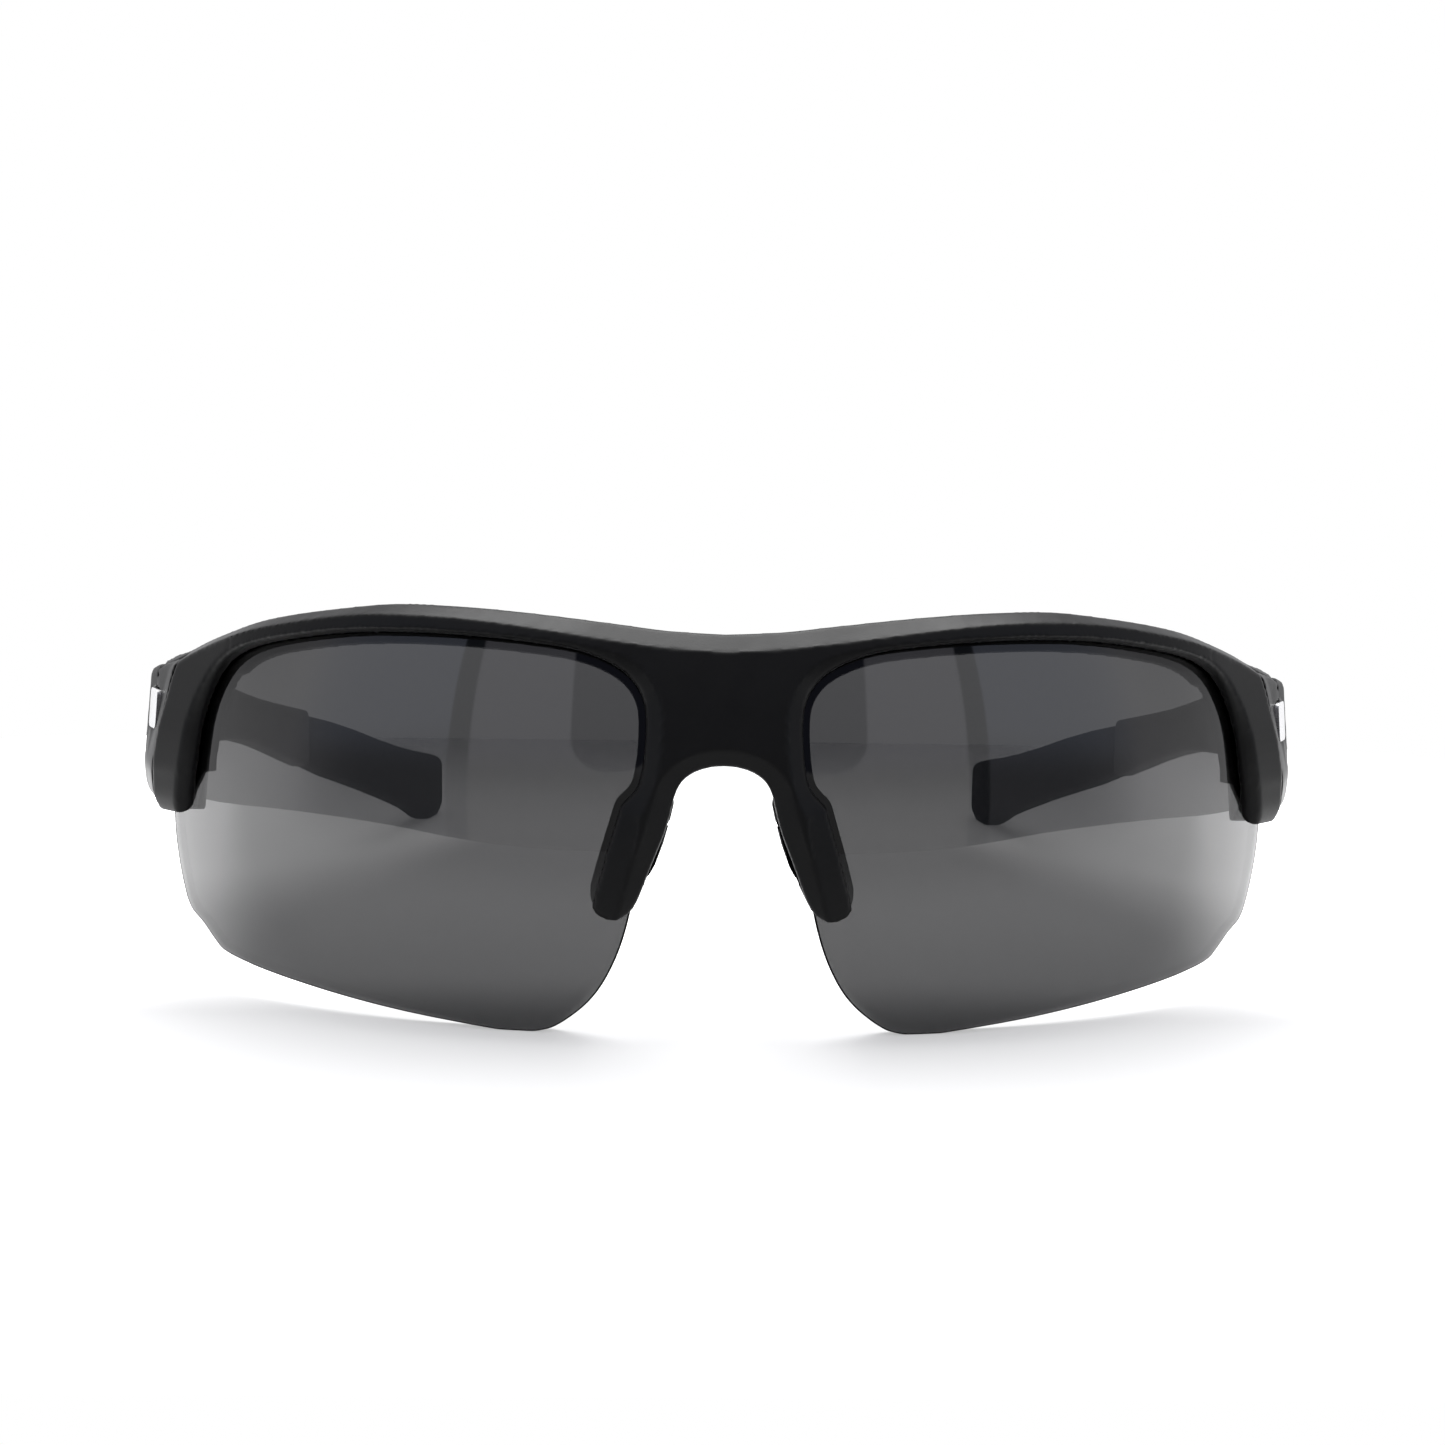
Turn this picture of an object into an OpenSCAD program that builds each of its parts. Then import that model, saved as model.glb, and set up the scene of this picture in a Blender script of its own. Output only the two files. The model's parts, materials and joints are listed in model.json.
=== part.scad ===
// Wraparound half-frame sport sunglasses, open, standing on the lenses and on the temple tips.
// +X is the wearer's left, +Y points back along the temples, +Z is up, the floor is z = 0.
// Every outline is written from the hinge line; frame_y moves the origin to the middle of the base.

/* [Lenses] */
// Radius of the lens's outer sphere (an 8-base lens)
lens_r = 66; // [65.9:0.05:66.1]
// Thickness of a lens
lens_t = 1.8; // [1.6:0.1:1.9]
// Half the distance between the two sphere centres
lens_cx = 13; // [12.95:0.05:13.05]
// Height of the sphere centres above the floor
lens_cz = 23; // [22.9:0.1:23.1]
// Distance of the sphere centres behind the hinge line
lens_cy = 37.9; // [37.8:0.05:38]
// Free play between a lens and its groove
groove_gap = 0.1; // [0.08:0.01:0.12]

/* [Front frame] */
// Thickness of the lip in front of the lens
front_lip = 1.8; // [1.6:0.1:1.9]
// Thickness of the lip behind the lens
rear_lip = 1.4; // [1.2:0.1:1.5]
// Depth of the bright sloping face along the top of the brow
chamfer_d = 2.3; // [2.1:0.1:2.5]
// Depth of the bevel round the nose arch
arch_bevel = 1.3; // [1.1:0.1:1.4]

/* [Hinges] */
// Hinge axis, sideways from the middle
hinge_x = 64.4; // [64.3:0.05:64.5]
// Hinge axis, behind the hinge line
hinge_y = 2.4; // [2.3:0.05:2.5]
// Middle height of the hinge
hinge_z = 32; // [31.8:0.1:32.2]
// Outer radius of the hinge barrels
barrel_r = 1.7; // [1.6:0.05:1.75]
// Radius of the hinge screw's shank
screw_r = 0.7; // [0.65:0.01:0.72]
// Radial clearance of the screw in the barrels
screw_fit = 0.05; // [0.03:0.01:0.06]
// Height of each of the three barrels
barrel_h = 2.5; // [2.3:0.1:2.6]
// Thickness of a nylon washer
washer_t = 0.22; // [0.2:0.01:0.24]
// Thickness of the metal leaves
leaf_t = 1; // [0.9:0.05:1.05]
// Gap between the front and the temple when open
butt_gap = 0.2; // [0.15:0.01:0.25]

/* [Rubber parts] */
// Clearance between a plastic tang and its rubber sleeve
sleeve_gap = 0.05; // [0.04:0.01:0.08]
// Thickness of the sleeve's rubber wall
sleeve_wall = 1; // [0.9:0.05:1.05]

/* [Hidden] */

// The origin is this far behind the hinge line
frame_y = 44.11;
black = [0.11, 0.11, 0.12];
rubber = [0.07, 0.07, 0.075];
smoke = [0.24, 0.24, 0.26, 0.75];
steel = [0.7, 0.7, 0.72];
silver = [0.82, 0.82, 0.84];
nylon = [0.88, 0.88, 0.85];

// ---- Outlines, in millimetres -------------------------------------------------------------

// Visible edge of the lens opening, from the tip of the nose arm round to the end piece.
// Each row: x, z, width of the bevel or flange beside the bridge, height of its outer edge
// above the lens. Down the nose arm it is a broad flange that laps over the lens.
opening = [[15.4, 10.0, 3.0, 0.6], [14.1, 15.0, 3.1, 0.6], [13.1, 19.0, 3.1, 0.6],
           [12.1, 22.5, 2.9, 0.65], [11.3, 25.2, 2.6, 0.7], [10.9, 26.4, 2.5, 0.7],
           [9.8, 27.5, 1.9, 0.8], [9.0, 29.0, 1.6, 0.9], [8.5, 32.7, 1.7, 0.9],
           [8.6, 36.8, 1.7, 0.9], [9.9, 39.4, 1.5, 1.0], [12.3, 41.2, 1.1, 1.3],
           [15.9, 42.5, 0.5, 1.6], [20.5, 43.2, 0.15, 1.7], [27.0, 43.7, 0.1, 1.7],
           [34.0, 43.85, 0.1, 1.7], [41.0, 43.5, 0.1, 1.7], [47.5, 42.5, 0.1, 1.7],
           [52.4, 41.3, 0.1, 1.7], [55.6, 39.6, 0.3, 1.5], [57.7, 37.0, 0.6, 1.3],
           [59.4, 33.0, 0.9, 1.1], [60.3, 28.5, 1.0, 1.1], [61.0, 24.0, 1.0, 1.1],
           [61.4, 19.0, 1.0, 1.1]];

// Outer edge of the lens: the part held in the groove, and the free lower edge.
lens_top = [[63.5, 10.2], [64.2, 14.0], [64.7, 19.0], [64.5, 24.0], [63.8, 28.5],
            [62.6, 33.0], [60.9, 37.0], [58.3, 40.1], [54.2, 42.3], [48.4, 43.8],
            [41.4, 44.8], [34.0, 45.15], [26.8, 45.0], [20.2, 44.5], [14.9, 43.7],
            [10.8, 42.2], [8.2, 39.9], [7.1, 36.9], [7.0, 33.0], [7.6, 28.5],
            [8.3, 24.0], [9.1, 19.0], [10.1, 13.6], [11.3, 9.5], [13.0, 5.9],
            [14.9, 3.4], [17.2, 1.4]];
lens_corner = [[18.6, 0.5], [20.4, 0.0]];
lens_bottom = [[24.6, 0.0], [29.5, 0.6], [35.5, 1.3], [41.3, 2.05], [47.5, 2.9], [53.7, 3.75],
               [57.6, 4.5]];
lens_notch = [[58.8, 4.95], [60.2, 6.5], [61.2, 7.7], [62.0, 8.25], [62.9, 8.9]];

// Brow: x, height of the crease on the front face, height of the rear top edge.
brow = [[0, 42.7, 44.5], [6, 43.05, 44.8], [12, 43.75, 45.5], [18, 44.6, 46.15],
        [24, 45.35, 46.65], [30, 45.85, 46.95], [37, 45.9, 46.95], [43, 45.4, 46.25],
        [49, 44.3, 45.3], [54, 43.1, 44.15], [58, 41.55, 42.7], [61.5, 39.95, 41.25],
        [64.5, 38.3, 39.8], [67.3, 37.2, 38.9], [69.8, 36.4, 38.2]];

// Inner edge of the nose arch and of one nose arm: x, z, width of the bevel.
arch = [[0, 30.6, 1.95], [1.6, 30.45, 1.95], [3.2, 29.9, 2.0], [4.5, 28.9, 2.1],
        [5.25, 27.4, 2.3], [5.7, 25.4, 2.4], [6.35, 23.2, 2.3], [7.2, 21.0, 2.1],
        [8.05, 18.8, 2.0], [8.85, 16.6, 1.8], [9.6, 14.6, 1.6], [10.6, 11.5, 1.5]];

// Rounded tip of a nose arm, and the ends of the front as seen from the front.
arm_tip = [[9.15, 15.9], [9.6, 15.0], [10.3, 14.3], [11.4, 13.85], [12.6, 13.9], [13.5, 14.3],
           [14.05, 15.0], [14.3, 16.0]];
end_bottom = [[59.5, 26], [61.2, 23.1], [61.5, 22.2], [62.0, 21.65], [62.7, 21.4], [65.2, 21.4],
              [70, 21.4]];
end_top = [[70, 36.8], [68.1, 37.7], [66.6, 38.8], [64.4, 39.85], [62, 41.4], [58, 44.2]];

// End piece in plan: z, x and y of the crease where the front meets the temple's cheek,
// x of the parting line's rear stretch, x of the inner rear corner.
end_piece = [[20.8, 65.3, -5.6, 66.8, 64.6], [22.2, 66.2, -5.5, 66.9, 64.6],
             [23.5, 66.6, -5.4, 66.9, 64.6], [25.5, 66.7, -5.3, 66.9, 64.4],
             [27.2, 66.65, -5.3, 66.9, 63.2], [31, 66.0, -5.3, 66.9, 63.0],
             [34, 65.1, -5.3, 66.9, 63.0], [37, 64.2, -5.2, 66.6, 63.0],
             [40.5, 63.0, -5.0, 65.4, 62.4]];
// Where the flat front of the end piece leaves the rounded face
end_tangent_x = 58.3;
// Rear face of the end piece, and the step of the parting line behind the crease
end_rear_y = 1.6;
cheek_y = -3.3;
cheek_in = 1.0;

// Temple sections: y, inner x, outer x at the top, outer x at the middle, outer x at the foot,
// then the heights of inner top, outer top, outer middle, outer foot and inner foot.
temple_secs = [[-7.2, 61.4, 62.8, 65.95, 65.7, 39.4, 38.8, 26.0, 22.6, 21.6],
               [-3.3, 62.4, 64.75, 67.6, 67.2, 39.4, 38.4, 26.0, 22.5, 21.5],
               [-0.4, 62.8, 66.8, 68.65, 68.4, 39.3, 37.9, 26.0, 22.6, 21.5],
               [1.6, 64.6, 68.2, 69.35, 69.1, 38.6, 37.4, 26.0, 22.9, 22.3],
               [3.2, 64.7, 68.5, 69.45, 69.2, 38.0, 37.1, 26.2, 23.3, 25.6],
               [5.0, 64.8, 68.7, 69.5, 69.3, 37.2, 36.7, 26.6, 23.9, 26.8],
               [9.0, 64.7, 68.6, 69.4, 69.2, 36.2, 35.8, 27.6, 25.1, 26.7],
               [14.0, 64.0, 67.9, 68.5, 68.3, 34.9, 34.6, 29.0, 26.2, 26.5],
               [20.0, 62.5, 66.6, 67.1, 66.8, 33.3, 33.1, 29.2, 26.0, 26.1],
               [26.0, 62.0, 65.5, 65.9, 65.6, 31.8, 31.6, 28.4, 25.2, 25.3],
               [33.0, 61.5, 64.7, 65.1, 64.8, 30.2, 30.0, 26.8, 23.6, 23.7],
               [40.0, 60.9, 64.0, 64.4, 64.1, 28.8, 28.6, 25.2, 21.7, 21.8],
               [47.0, 60.0, 63.2, 63.6, 63.3, 27.4, 27.2, 23.4, 19.6, 19.7],
               [53.4, 59.0, 62.2, 62.6, 62.3, 26.1, 25.9, 21.9, 17.6, 17.7],
               [54.6, 59.3, 61.9, 62.2, 62.0, 25.5, 25.3, 21.6, 18.0, 18.1]];
sleeve_secs = [[54.8, 59.2, 61.7, 62.1, 61.8, 24.8, 24.6, 21.3, 17.7, 17.8],
               [56.2, 58.6, 61.8, 62.3, 61.9, 24.9, 24.7, 21.0, 17.0, 17.1],
               [65.0, 57.1, 60.6, 61.1, 60.7, 23.0, 22.8, 18.9, 14.3, 14.4],
               [75.0, 55.2, 58.9, 59.5, 59.0, 20.5, 20.3, 16.3, 11.5, 11.6],
               [85.0, 53.2, 57.1, 57.7, 57.2, 17.7, 17.5, 13.5, 8.6, 8.7],
               [95.0, 51.2, 55.1, 55.8, 55.3, 15.1, 14.9, 10.7, 5.5, 5.6],
               [103.0, 49.5, 53.4, 54.1, 53.6, 13.2, 13.0, 8.4, 2.8, 2.9],
               [108.0, 48.5, 52.3, 52.9, 52.4, 12.2, 12.0, 7.0, 0.5, 0.6],
               [110.0, 48.1, 51.8, 52.4, 51.9, 11.8, 11.6, 6.5, -0.15, -0.15],
               [114.0, 47.4, 50.8, 51.4, 50.9, 10.9, 10.7, 6.0, -0.15, -0.15],
               [116.6, 47.1, 50.1, 50.7, 50.2, 10.1, 9.9, 5.8, 0.9, 0.9],
               [118.1, 47.7, 49.4, 49.8, 49.5, 8.6, 8.5, 5.6, 2.6, 2.6]];
edge_r = 0.8;

// Nose pad in plan: z, x and y of the front edge, x and y of the back edge, thickness.
pad_secs = [[13.4, 10.6, -22.2, 12.6, -20.4, 0.8], [13.8, 10.1, -23.1, 13.4, -19.5, 1.6],
            [14.8, 9.6, -23.75, 13.9, -18.9, 2.1], [16.6, 8.75, -24.2, 13.7, -18.6, 2.4],
            [19.0, 7.5, -24.6, 13.0, -18.5, 2.5], [21.5, 6.6, -24.7, 12.2, -18.6, 2.5],
            [24.0, 5.9, -24.7, 11.3, -18.9, 2.4], [26.0, 5.4, -24.5, 10.6, -19.5, 2.1],
            [27.2, 5.6, -24.2, 10.0, -20.3, 1.6], [27.8, 6.3, -23.4, 9.0, -21.4, 0.8]];
tab_secs = [[17.6, 8.3, -24.3, 11.0, -21.2], [23.8, 6.4, -24.3, 9.2, -21.2]];

// ---- Helpers --------------------------------------------------------------------------------

function cr(a, b, c, d, t) =
    0.5 * (2*b + (c - a)*t + (2*a - 5*b + 4*c - d)*t*t + (3*b - a - 3*c + d)*t*t*t);
// Smooth open curve through the points p, with n steps between neighbours
function curve(p, n) =
    [for (i = [0 : len(p) - 2]) for (k = [0 : n - 1])
        cr(p[max(i - 1, 0)], p[i], p[i + 1], p[min(i + 2, len(p) - 1)], k / n), p[len(p) - 1]];
function unit(v) = v / norm(v);
// Point of the front, at (x, z), a distance d outside the lens's outer surface
function on_lens(x, z, d) =
    let (c = [lens_cx, lens_cy, lens_cz], dx = x - lens_cx, dz = z - lens_cz,
         n = unit([dx, -sqrt(lens_r*lens_r - dx*dx - dz*dz), dz]))
    c + (lens_r + d) * n;
// Point straight ahead of (x, z), a distance d outside the face that joins the two lens spheres
function on_face(x, z, d) =
    let (dx = max(abs(x) - lens_cx, 0), dz = z - lens_cz, r = lens_r + d)
    [x, lens_cy - sqrt(r*r - dx*dx - dz*dz), z];
// Left-hand normals of an open outline of [x, z, ...] rows
function normals(p) =
    [for (i = [0 : len(p) - 1])
        let (a = p[max(i - 1, 0)], b = p[min(i + 1, len(p) - 1)], t = unit([b[0] - a[0], b[1] - a[1]]))
        [-t[1], t[0]]];
// Corners cut back by r and rounded, two corners' worth of points kept in order
function rounded(c, r) =
    [for (i = [0 : len(c) - 1])
        let (a = c[(i + len(c) - 1) % len(c)], b = c[i], d = c[(i + 1) % len(c)],
             p = b + unit(a - b) * min(r, norm(a - b) * 0.45),
             q = b + unit(d - b) * min(r, norm(d - b) * 0.45))
        each [p, b/2 + (p + q)/4, q]];

// Solid through a list of rings that all have the same number of points
module loft(rings) {
    n = len(rings[0]);
    m = len(rings);
    polyhedron(
        points = [for (r = rings) each r],
        faces = [[for (i = [0 : n - 1]) i],
                 for (j = [0 : m - 2]) for (i = [0 : n - 1])
                     each [[j*n + i, (j + 1)*n + i, (j + 1)*n + (i + 1) % n],
                           [j*n + i, (j + 1)*n + (i + 1) % n, j*n + (i + 1) % n]],
                 [for (i = [n - 1 : -1 : 0]) (m - 1)*n + i]]);
}
module side(s) { mirror([s < 0 ? 1 : 0, 0, 0]) children(); }
module in_frame() { translate([0, -frame_y, 0]) children(); }
module front_view(y0, y1) { translate([0, y1, 0]) rotate([90, 0, 0]) linear_extrude(y1 - y0) children(); }

// ---- Lenses ---------------------------------------------------------------------------------

lens_outline = concat(curve(lens_top, 4), lens_corner, curve(lens_bottom, 2), lens_notch);

module lens_shape() {
    intersection() {
        translate([lens_cx, lens_cy, lens_cz]) difference() {
            sphere(lens_r, $fn = 200);
            sphere(lens_r - lens_t, $fn = 200);
        }
        front_view(-40, 20) polygon(lens_outline);
    }
}
module groove_shape() {
    intersection() {
        translate([lens_cx, lens_cy, lens_cz]) difference() {
            sphere(lens_r + groove_gap + 0.02, $fn = 180);
            sphere(lens_r - lens_t - groove_gap, $fn = 180);
        }
        front_view(-40, 20) offset(delta = groove_gap) polygon(lens_outline);
    }
}

// ---- Front frame ----------------------------------------------------------------------------

// Face through both lens spheres, moved out by d, as a solid
module face_solid(d) {
    hull() for (s = [-1, 1])
        translate([s * lens_cx, lens_cy, lens_cz]) sphere(lens_r + d, $fn = 150);
}
module silhouette() {
    half = concat([[0, 20], [4, 20], [8.3, 16.3]], arm_tip, [[14.3, 26]], end_bottom, end_top,
                  [for (b = [9 : -1 : 1]) [brow[b][0], brow[b][2] + 2]]);
    polygon(concat(half, [for (i = [len(half) - 1 : -1 : 1]) [-half[i][0], half[i][1]]]));
}
module end_block() {
    loft([for (e = curve(end_piece, 3))
        let (f = on_face(end_tangent_x, e[0], front_lip - 0.02), a = [f[0], f[1]], b = [e[1], e[2]],
             beyond = b + unit(b - a) * 1.8)
        [for (p = [a, beyond, beyond + [3, 3], [72, end_rear_y + 1], [e[4], end_rear_y + 1],
                   [e[4] - 1.3, -1.5]]) [p[0], p[1], e[0]]]]);
}
// Everything above the brow's sloping top face and above the roof behind it
module brow_cut() {
    up = [0, 0, 6];
    half = [for (b = curve(brow, 3))
        let (crease = on_face(b[0], b[1], front_lip), dx = max(b[0] - lens_cx, 0),
             run = concat(unit([-dx, sqrt(lens_r*lens_r - dx*dx)]), [0]),
             top = crease + run * chamfer_d + [0, 0, b[2] - b[1]],
             front = crease + (crease - top), back = top + run * 6 - [0, 0, 1.3])
        [front, top, back, back + up, front + up]];
    loft(concat([for (i = [len(half) - 1 : -1 : 1]) [for (q = half[i]) [-q[0], q[1], q[2]]]], half));
}
// Opening of one eye: straight walls square to the lens, with the bevel beside the bridge
module opening_cut() {
    p = curve(opening, 3);
    n = normals(p);
    low = -4;
    ring = function (grow, d)
        concat([on_lens(p[0][0], low, d)],
               [for (i = [0 : len(p) - 1])
                   on_lens(p[i][0] + n[i][0] * grow(p[i]), p[i][1] + n[i][1] * grow(p[i]), d)],
               [on_lens(62, low, d)]);
    bevel_ring = concat([on_lens(p[0][0], low, front_lip)],
        [for (i = [0 : len(p) - 1]) on_lens(p[i][0], p[i][1], p[i][3])],
        [on_lens(62, low, front_lip)]);
    face_ring = [for (q = ring(function (q) q[2], front_lip))
        on_face(q[0], q[2], front_lip + 0.03 + max(q[0] - end_tangent_x, 0) * 0.09)];
    lens_ring = ring(function (q) 0, 0);
    rear = function (q) q[0] > 57 ? -0.1 : -0.7;
    rear_ring = ring(rear, -lens_t);
    back_ring = ring(rear, -lens_t - rear_lip - 1);
    loft([[for (q = face_ring) [q[0], -45, q[2]]],
          [for (q = face_ring) q],
          bevel_ring, lens_ring, rear_ring, back_ring,
          [for (q = back_ring) [q[0], 30, q[2]]]]);
}
// Nose gap with its bevel, from the arch down both arms
module nose_cut() {
    a = curve(arch, 3);
    n = normals(a);
    half = function (k, d) [for (i = [0 : len(a) - 1])
        on_face(a[i][0] + n[i][0] * a[i][2] * k, a[i][1] + n[i][1] * a[i][2] * k, d)];
    whole = function (h) concat([for (i = [len(h) - 1 : -1 : 1]) [-h[i][0], h[i][1], h[i][2]]], h);
    front = whole(half(1, front_lip + 0.02));
    back = whole(half(0, front_lip - arch_bevel));
    loft([[for (q = front) [q[0], -45, q[2]]], front, back, [for (q = back) [q[0], 0, q[2]]]]);
}
// Two posts joined by a web, moulded on the back of a nose arm to carry the rubber pad
module pad_tab(grow) {
    for (t = tab_secs) hull() tab_balls(t, 0.55 + grow);
    hull() for (t = tab_secs) tab_balls(t, 0.35 + grow);
}
module tab_balls(t, r) {
    for (q = [[t[1] + 0.3, t[2] - 1.6], [t[1], t[2]], [t[3], t[4]]])
        translate([q[0], q[1], t[0]]) sphere(r, $fn = 16);
}
// Room for the leaf, the barrels and the screws of the front's half of the hinge, open at the top
module front_hinge_room() {
    g = 0.05;
    translate([hinge_x, hinge_y, hinge_z - 5.6]) cylinder(r = barrel_r + 0.3, h = 20, $fn = 40);
    front_leaf_plate(g);
    for (z = leaf_screw_z) translate([front_screw_x, end_rear_y + 1, hinge_z + z])
        rotate([90, 0, 0]) cylinder(r = leaf_screw_r + 0.06, h = front_screw_l + 1.1, $fn = 24);
}
module front_frame() {
    color(black) in_frame() difference() {
        union() {
            intersection() {
                difference() {
                    face_solid(front_lip);
                    face_solid(-lens_t - rear_lip);
                }
                front_view(-45, end_rear_y) silhouette();
            }
            for (s = [-1, 1]) side(s) {
                intersection() {
                    end_block();
                    front_view(-45, end_rear_y) silhouette();
                }
                pad_tab(0);
            }
        }
        for (s = [-1, 1]) side(s) {
            opening_cut();
            groove_shape();
            side_trim();
            front_hinge_room();
        }
        brow_cut();
        nose_cut();
    }
}
// Plan of the parting line between the end piece and the temple's cheek at row e, moved out by g
function parting(e, g) =
    let (a = [e[1] - cheek_in + g, cheek_y], b = [e[1] + g, e[2]])
    [b + (b - a) * 4, a, [e[3] + g, -0.4], [e[3] + g, end_rear_y + g]];
module along_end_piece(plan) {
    rows = curve(end_piece, 3);
    loft([for (i = [0 : len(rows) - 1])
        [for (p = plan(rows[i])) [p[0], p[1], i == 0 ? 10 : i == len(rows) - 1 ? 50 : rows[i][0]]]]);
}
// Everything outside the parting line, which the temple's cheek fills
module side_trim() {
    along_end_piece(function (e)
        let (q = parting(e, 0)) [q[0], [90, -30], [90, 6], [e[3], 6], q[2], q[1]]);
}
// Everything inside the parting line, with the gap that lets the temple swing
module end_core() {
    along_end_piece(function (e)
        let (q = parting(e, butt_gap)) [q[0], q[1], q[2], q[3], [40, end_rear_y + butt_gap], [40, -30]]);
}

// ---- Nose pads ------------------------------------------------------------------------------

module nose_pad_shape() {
    count = 16;
    difference() {
        loft([for (s = pad_secs)
            let (f = [s[1], s[2]], b = [s[3], s[4]], m = (f + b) / 2, u = (b - f) / 2,
                 w = unit([u[1], -u[0]]) * s[5] / 2)
            [for (i = [0 : count - 1])
                let (t = -i * 360 / count, k = sign(cos(t)) * pow(abs(cos(t)), 0.8),
                     q = m + u * k + w * sin(t))
                [q[0], q[1], s[0]]]]);
        pad_tab(0.05);
    }
}

// ---- Hinges ---------------------------------------------------------------------------------

// Leaf screws: heights from the middle, radius, lengths and places
leaf_screw_z = [-2.6, 2.6];
leaf_screw_r = 0.5;
leaf_head_r = 0.85;
leaf_head_h = 0.45;
front_screw_x = 66.05;
front_screw_l = 2;
temple_screw_y = [7.6, 11.6];
temple_screw_z = [0.4, -0.5];
temple_screw_l = 2.5;
leaf_h = 8;
front_leaf_x = 66.8;
temple_leaf_y = 13.6;
temple_leaf_h = 4.6;
stack_h = 3 * barrel_h + 2 * washer_t + 0.08;

module bar(x0, x1, y0, y1, z0, z1) { translate([x0, y0, z0]) cube([x1 - x0, y1 - y0, z1 - z0]); }
// One barrel whose foot is at height z
module barrel(z) { translate([hinge_x, hinge_y, z]) cylinder(r = barrel_r, h = barrel_h, $fn = 48); }
module screw_bore() {
    translate([hinge_x, hinge_y, hinge_z - 10]) cylinder(r = screw_r + screw_fit, h = 20, $fn = 48);
}
// Plate in the end piece's rear face, grown by g for its pocket
module front_leaf_plate(g) {
    bar(hinge_x - barrel_r - g, front_leaf_x + g, end_rear_y - leaf_t - g, end_rear_y + g,
        hinge_z - leaf_h/2 - g, hinge_z + leaf_h/2 + g);
}
// Countersunk slotted screw pointing along +Z, its flat head at z = 0
module leaf_screw(l) {
    difference() {
        union() {
            cylinder(r = leaf_screw_r, h = l, $fn = 32);
            cylinder(r1 = leaf_head_r, r2 = leaf_screw_r, h = leaf_head_h, $fn = 32);
        }
        translate([-1, -0.1, -0.1]) cube([2, 0.2, 0.32]);
    }
}
module leaf_screw_hole() {
    translate([0, 0, -0.01]) cylinder(r = leaf_screw_r + 0.05, h = 3, $fn = 32);
    translate([0, 0, -0.01]) cylinder(r1 = leaf_head_r + 0.06, r2 = leaf_screw_r + 0.05,
        h = leaf_head_h + 0.03, $fn = 32);
}
module at_front_screws() {
    for (z = leaf_screw_z) translate([front_screw_x, end_rear_y, hinge_z + z]) rotate([90, 0, 0]) children();
}
module at_temple_screws() {
    for (i = [0, 1])
        translate([hinge_x + barrel_r - leaf_t, temple_screw_y[i], hinge_z + temple_screw_z[i]])
            rotate([0, 90, 0]) children();
}
module front_leaf_shape() {
    z0 = hinge_z - stack_h/2;
    difference() {
        union() {
            difference() {
                front_leaf_plate(0);
                bar(hinge_x - 3, hinge_x + barrel_r + 0.35, hinge_y - barrel_r - 0.3, end_rear_y + 1,
                    z0 + barrel_h, z0 + stack_h - barrel_h);
            }
            for (z = [z0, z0 + stack_h - barrel_h]) {
                barrel(z);
                bar(hinge_x - barrel_r, hinge_x + barrel_r, end_rear_y - 0.2, hinge_y, z, z + barrel_h);
            }
        }
        screw_bore();
        at_front_screws() leaf_screw_hole();
    }
}
module temple_leaf_shape() {
    z0 = hinge_z - barrel_h/2;
    x0 = hinge_x + barrel_r - leaf_t;
    difference() {
        union() {
            barrel(z0);
            bar(x0, x0 + leaf_t, hinge_y, hinge_y + 3, z0, z0 + barrel_h);
            translate([x0, 0, 0]) rotate([90, 0, 90]) linear_extrude(leaf_t)
                polygon([[hinge_y + 2.1, z0], [hinge_y + 2.6, hinge_z - 2.6], [temple_leaf_y - 0.8, hinge_z - 2.9],
                         [temple_leaf_y, hinge_z - 2.1], [temple_leaf_y, hinge_z + 1.2],
                         [temple_leaf_y - 0.8, hinge_z + 2.0], [hinge_y + 2.6, hinge_z + 2.4],
                         [hinge_y + 2.1, z0 + barrel_h]]);
        }
        screw_bore();
        at_temple_screws() leaf_screw_hole();
    }
}
module hinge_screw_shape() {
    top = hinge_z + stack_h/2;
    translate([hinge_x, hinge_y, 0]) difference() {
        union() {
            translate([0, 0, top - stack_h]) cylinder(r = screw_r, h = stack_h, $fn = 48);
            translate([0, 0, top]) cylinder(r = 1.25, h = 0.7, $fn = 48);
        }
        translate([-1.5, -0.15, top + 0.35]) cube([3, 0.3, 1]);
    }
}
module washers_shape() {
    for (z = [hinge_z - barrel_h/2 - 0.04 - washer_t, hinge_z + barrel_h/2 + 0.04])
        translate([hinge_x, hinge_y, z]) difference() {
            cylinder(r = barrel_r - 0.05, h = washer_t, $fn = 48);
            translate([0, 0, -1]) cylinder(r = screw_r + screw_fit, h = 2, $fn = 48);
        }
}

// ---- Temples --------------------------------------------------------------------------------

// Ring of a temple section, shrunk by g all round
function section(s, g, r) =
    let (c = [[s[1] + g, s[5] - g], [s[2] - g, s[6] - g], [s[3] - g, s[7]], [s[4] - g, s[8] + g],
              [s[1] + g, s[9] + g]])
    [for (p = rounded(c, r)) [p[0], s[0], p[1]]];
tang_secs = [for (i = [0 : 8]) sleeve_secs[i]];

module sleeve_room(g) {
    loft([section(concat([53.8], [for (k = [1 : 9]) sleeve_secs[0][k]]), sleeve_wall - g, edge_r/2),
          for (i = [1 : len(tang_secs) - 1])
              section([for (k = [0 : 9]) tang_secs[i][k] + (k == 0 && i == len(tang_secs) - 1 ? g : 0)],
                      sleeve_wall - g, edge_r/2)]);
}
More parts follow.
